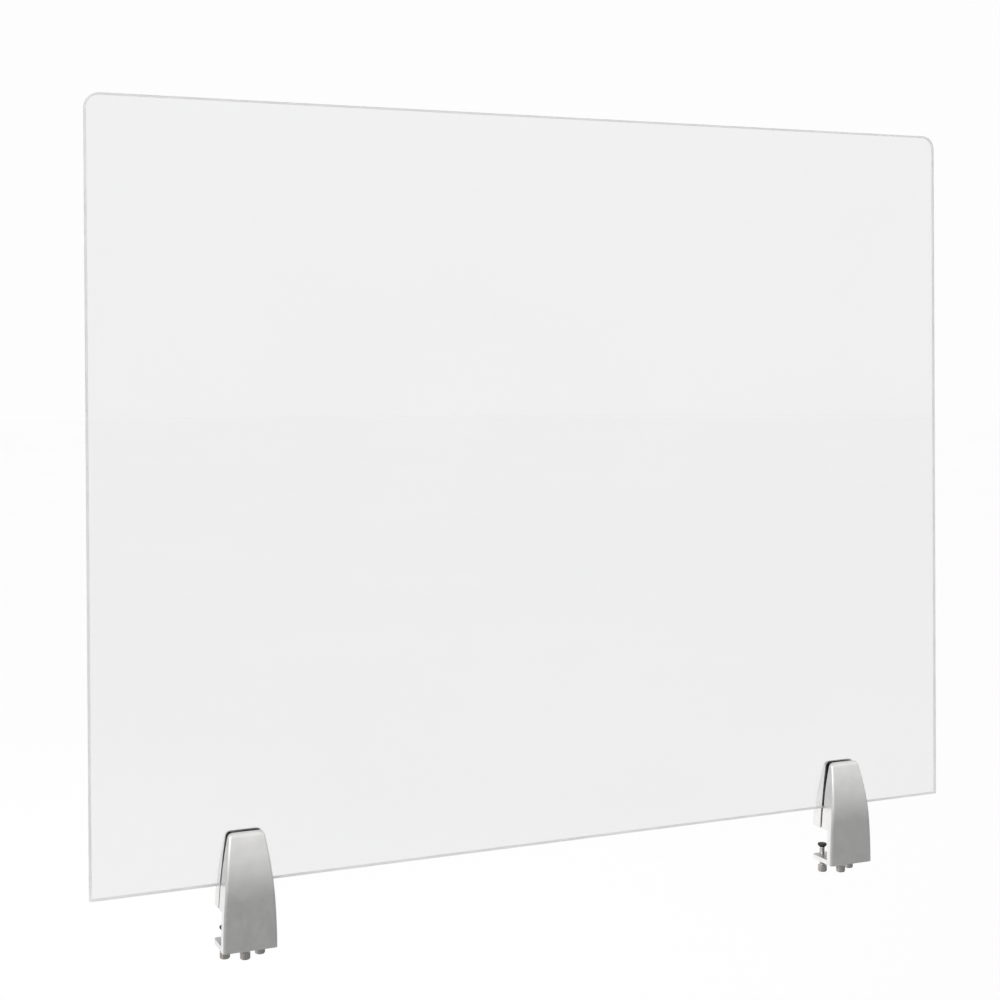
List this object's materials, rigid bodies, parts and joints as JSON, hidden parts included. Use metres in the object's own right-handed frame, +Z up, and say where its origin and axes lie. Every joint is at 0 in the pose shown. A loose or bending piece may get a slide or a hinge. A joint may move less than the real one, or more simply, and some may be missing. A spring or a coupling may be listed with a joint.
{
  "type": "desk privacy panel",
  "caption": "Clear acrylic privacy screen held on a desk edge by clamps, each with a tapered cast grip, a jaw under the desk and upward desk screws.",
  "frame": {"origin": "on the top front edge of the desk that the clamps grip, below the middle of the panel", "axes": "+X along the panel, to the right as seen from the front; +Y from the front to the back, over the desk; +Z up"},
  "size_m": [0.762, 0.0306, 0.6557],
  "materials": {
    "acrylic": "clear, polished faces and edges",
    "cast_metal": "die-cast, satin silver",
    "rubber": "matt black",
    "zinc_steel": "zinc plated, dull",
    "nylon": "moulded, black"
  },
  "bodies": {
    "panel": {"panel": "acrylic"},
    "left_clamp": {"left_clamp_body": "cast_metal", "left_front_liner": "rubber", "left_front_seat_pad": "rubber"},
    "left_rear_jaw": {"left_rear_jaw": "cast_metal", "left_rear_liner": "rubber", "left_rear_seat_pad": "rubber"},
    "left_grip_screw_1": {"left_grip_screw_1": "zinc_steel"},
    "left_grip_screw_2": {"left_grip_screw_2": "zinc_steel"},
    "left_foot_front": {"left_foot_front": "nylon"},
    "left_foot_rear_left": {"left_foot_rear_left": "nylon"},
    "left_foot_rear_right": {"left_foot_rear_right": "nylon"},
    "left_desk_screw_front": {"left_desk_screw_front": "zinc_steel"},
    "left_desk_screw_rear_left": {"left_desk_screw_rear_left": "zinc_steel"},
    "left_desk_screw_rear_right": {"left_desk_screw_rear_right": "zinc_steel"},
    "right_clamp": {"right_clamp_body": "cast_metal", "right_front_liner": "rubber", "right_front_seat_pad": "rubber"},
    "right_rear_jaw": {"right_rear_jaw": "cast_metal", "right_rear_liner": "rubber", "right_rear_seat_pad": "rubber"},
    "right_grip_screw_1": {"right_grip_screw_1": "zinc_steel"},
    "right_grip_screw_2": {"right_grip_screw_2": "zinc_steel"},
    "right_foot_front": {"right_foot_front": "nylon"},
    "right_foot_rear_left": {"right_foot_rear_left": "nylon"},
    "right_foot_rear_right": {"right_foot_rear_right": "nylon"},
    "right_desk_screw_front": {"right_desk_screw_front": "zinc_steel"},
    "right_desk_screw_rear_left": {"right_desk_screw_rear_left": "zinc_steel"},
    "right_desk_screw_rear_right": {"right_desk_screw_rear_right": "zinc_steel"}
  },
  "joints": [
    {"name": "left_clamp_slide", "type": "slide", "parent": "panel", "child": "left_clamp", "axis": [1, 0, 0], "range_m": [-0.09, 0.23]},
    {"name": "left_grip_slide", "type": "slide", "parent": "left_clamp", "child": "left_rear_jaw", "axis": [0, 1, 0], "range_m": [0, 0.0025]},
    {"name": "left_grip_screw_1_turn", "type": "hinge", "parent": "left_rear_jaw", "child": "left_grip_screw_1", "pos_m": [-0.2715, 0.0198, 0.0085], "axis": [0, 1, 0], "range_deg": [0, 1286]},
    {"name": "left_grip_screw_2_turn", "type": "hinge", "parent": "left_rear_jaw", "child": "left_grip_screw_2", "pos_m": [-0.2555, 0.0198, 0.0085], "axis": [0, 1, 0], "range_deg": [0, 1286]},
    {"name": "left_foot_front_slide", "type": "slide", "parent": "left_clamp", "child": "left_foot_front", "axis": [0, 0, 1], "range_m": [-0.007, 0.0054]},
    {"name": "left_foot_rear_left_slide", "type": "slide", "parent": "left_clamp", "child": "left_foot_rear_left", "axis": [0, 0, 1], "range_m": [-0.007, 0.0054]},
    {"name": "left_foot_rear_right_slide", "type": "slide", "parent": "left_clamp", "child": "left_foot_rear_right", "axis": [0, 0, 1], "range_m": [-0.007, 0.0054]},
    {"name": "left_desk_screw_front_turn", "type": "hinge", "parent": "left_foot_front", "child": "left_desk_screw_front", "pos_m": [-0.2635, 0.0105, -0.0187], "axis": [0, 0, 1], "range_deg": [-3151, 2431]},
    {"name": "left_desk_screw_rear_left_turn", "type": "hinge", "parent": "left_foot_rear_left", "child": "left_desk_screw_rear_left", "pos_m": [-0.2773, 0.0184, -0.0187], "axis": [0, 0, 1], "range_deg": [-3151, 2431]},
    {"name": "left_desk_screw_rear_right_turn", "type": "hinge", "parent": "left_foot_rear_right", "child": "left_desk_screw_rear_right", "pos_m": [-0.2497, 0.0184, -0.0187], "axis": [0, 0, 1], "range_deg": [-3151, 2431]},
    {"name": "right_clamp_slide", "type": "slide", "parent": "panel", "child": "right_clamp", "axis": [1, 0, 0], "range_m": [-0.24, 0.078]},
    {"name": "right_grip_slide", "type": "slide", "parent": "right_clamp", "child": "right_rear_jaw", "axis": [0, 1, 0], "range_m": [0, 0.0025]},
    {"name": "right_grip_screw_1_turn", "type": "hinge", "parent": "right_rear_jaw", "child": "right_grip_screw_1", "pos_m": [0.27, 0.0198, 0.0085], "axis": [0, 1, 0], "range_deg": [0, 1286]},
    {"name": "right_grip_screw_2_turn", "type": "hinge", "parent": "right_rear_jaw", "child": "right_grip_screw_2", "pos_m": [0.286, 0.0198, 0.0085], "axis": [0, 1, 0], "range_deg": [0, 1286]},
    {"name": "right_foot_front_slide", "type": "slide", "parent": "right_clamp", "child": "right_foot_front", "axis": [0, 0, 1], "range_m": [-0.007, 0.0054]},
    {"name": "right_foot_rear_left_slide", "type": "slide", "parent": "right_clamp", "child": "right_foot_rear_left", "axis": [0, 0, 1], "range_m": [-0.007, 0.0054]},
    {"name": "right_foot_rear_right_slide", "type": "slide", "parent": "right_clamp", "child": "right_foot_rear_right", "axis": [0, 0, 1], "range_m": [-0.007, 0.0054]},
    {"name": "right_desk_screw_front_turn", "type": "hinge", "parent": "right_foot_front", "child": "right_desk_screw_front", "pos_m": [0.278, 0.0105, -0.0187], "axis": [0, 0, 1], "range_deg": [-3151, 2431]},
    {"name": "right_desk_screw_rear_left_turn", "type": "hinge", "parent": "right_foot_rear_left", "child": "right_desk_screw_rear_left", "pos_m": [0.2642, 0.0184, -0.0187], "axis": [0, 0, 1], "range_deg": [-3151, 2431]},
    {"name": "right_desk_screw_rear_right_turn", "type": "hinge", "parent": "right_foot_rear_right", "child": "right_desk_screw_rear_right", "pos_m": [0.2918, 0.0184, -0.0187], "axis": [0, 0, 1], "range_deg": [-3151, 2431]}
  ],
  "couplings": [
    {"joint": "left_grip_screw_1_turn", "follows": "left_grip_slide", "rad_per_m": 8976},
    {"joint": "left_grip_screw_2_turn", "follows": "left_grip_slide", "rad_per_m": 8976},
    {"joint": "left_desk_screw_front_turn", "follows": "left_foot_front_slide", "rad_per_m": 7854},
    {"joint": "left_desk_screw_rear_left_turn", "follows": "left_foot_rear_left_slide", "rad_per_m": 7854},
    {"joint": "left_desk_screw_rear_right_turn", "follows": "left_foot_rear_right_slide", "rad_per_m": 7854},
    {"joint": "right_grip_screw_1_turn", "follows": "right_grip_slide", "rad_per_m": 8976},
    {"joint": "right_grip_screw_2_turn", "follows": "right_grip_slide", "rad_per_m": 8976},
    {"joint": "right_desk_screw_front_turn", "follows": "right_foot_front_slide", "rad_per_m": 7854},
    {"joint": "right_desk_screw_rear_left_turn", "follows": "right_foot_rear_left_slide", "rad_per_m": 7854},
    {"joint": "right_desk_screw_rear_right_turn", "follows": "right_foot_rear_right_slide", "rad_per_m": 7854}
  ]
}
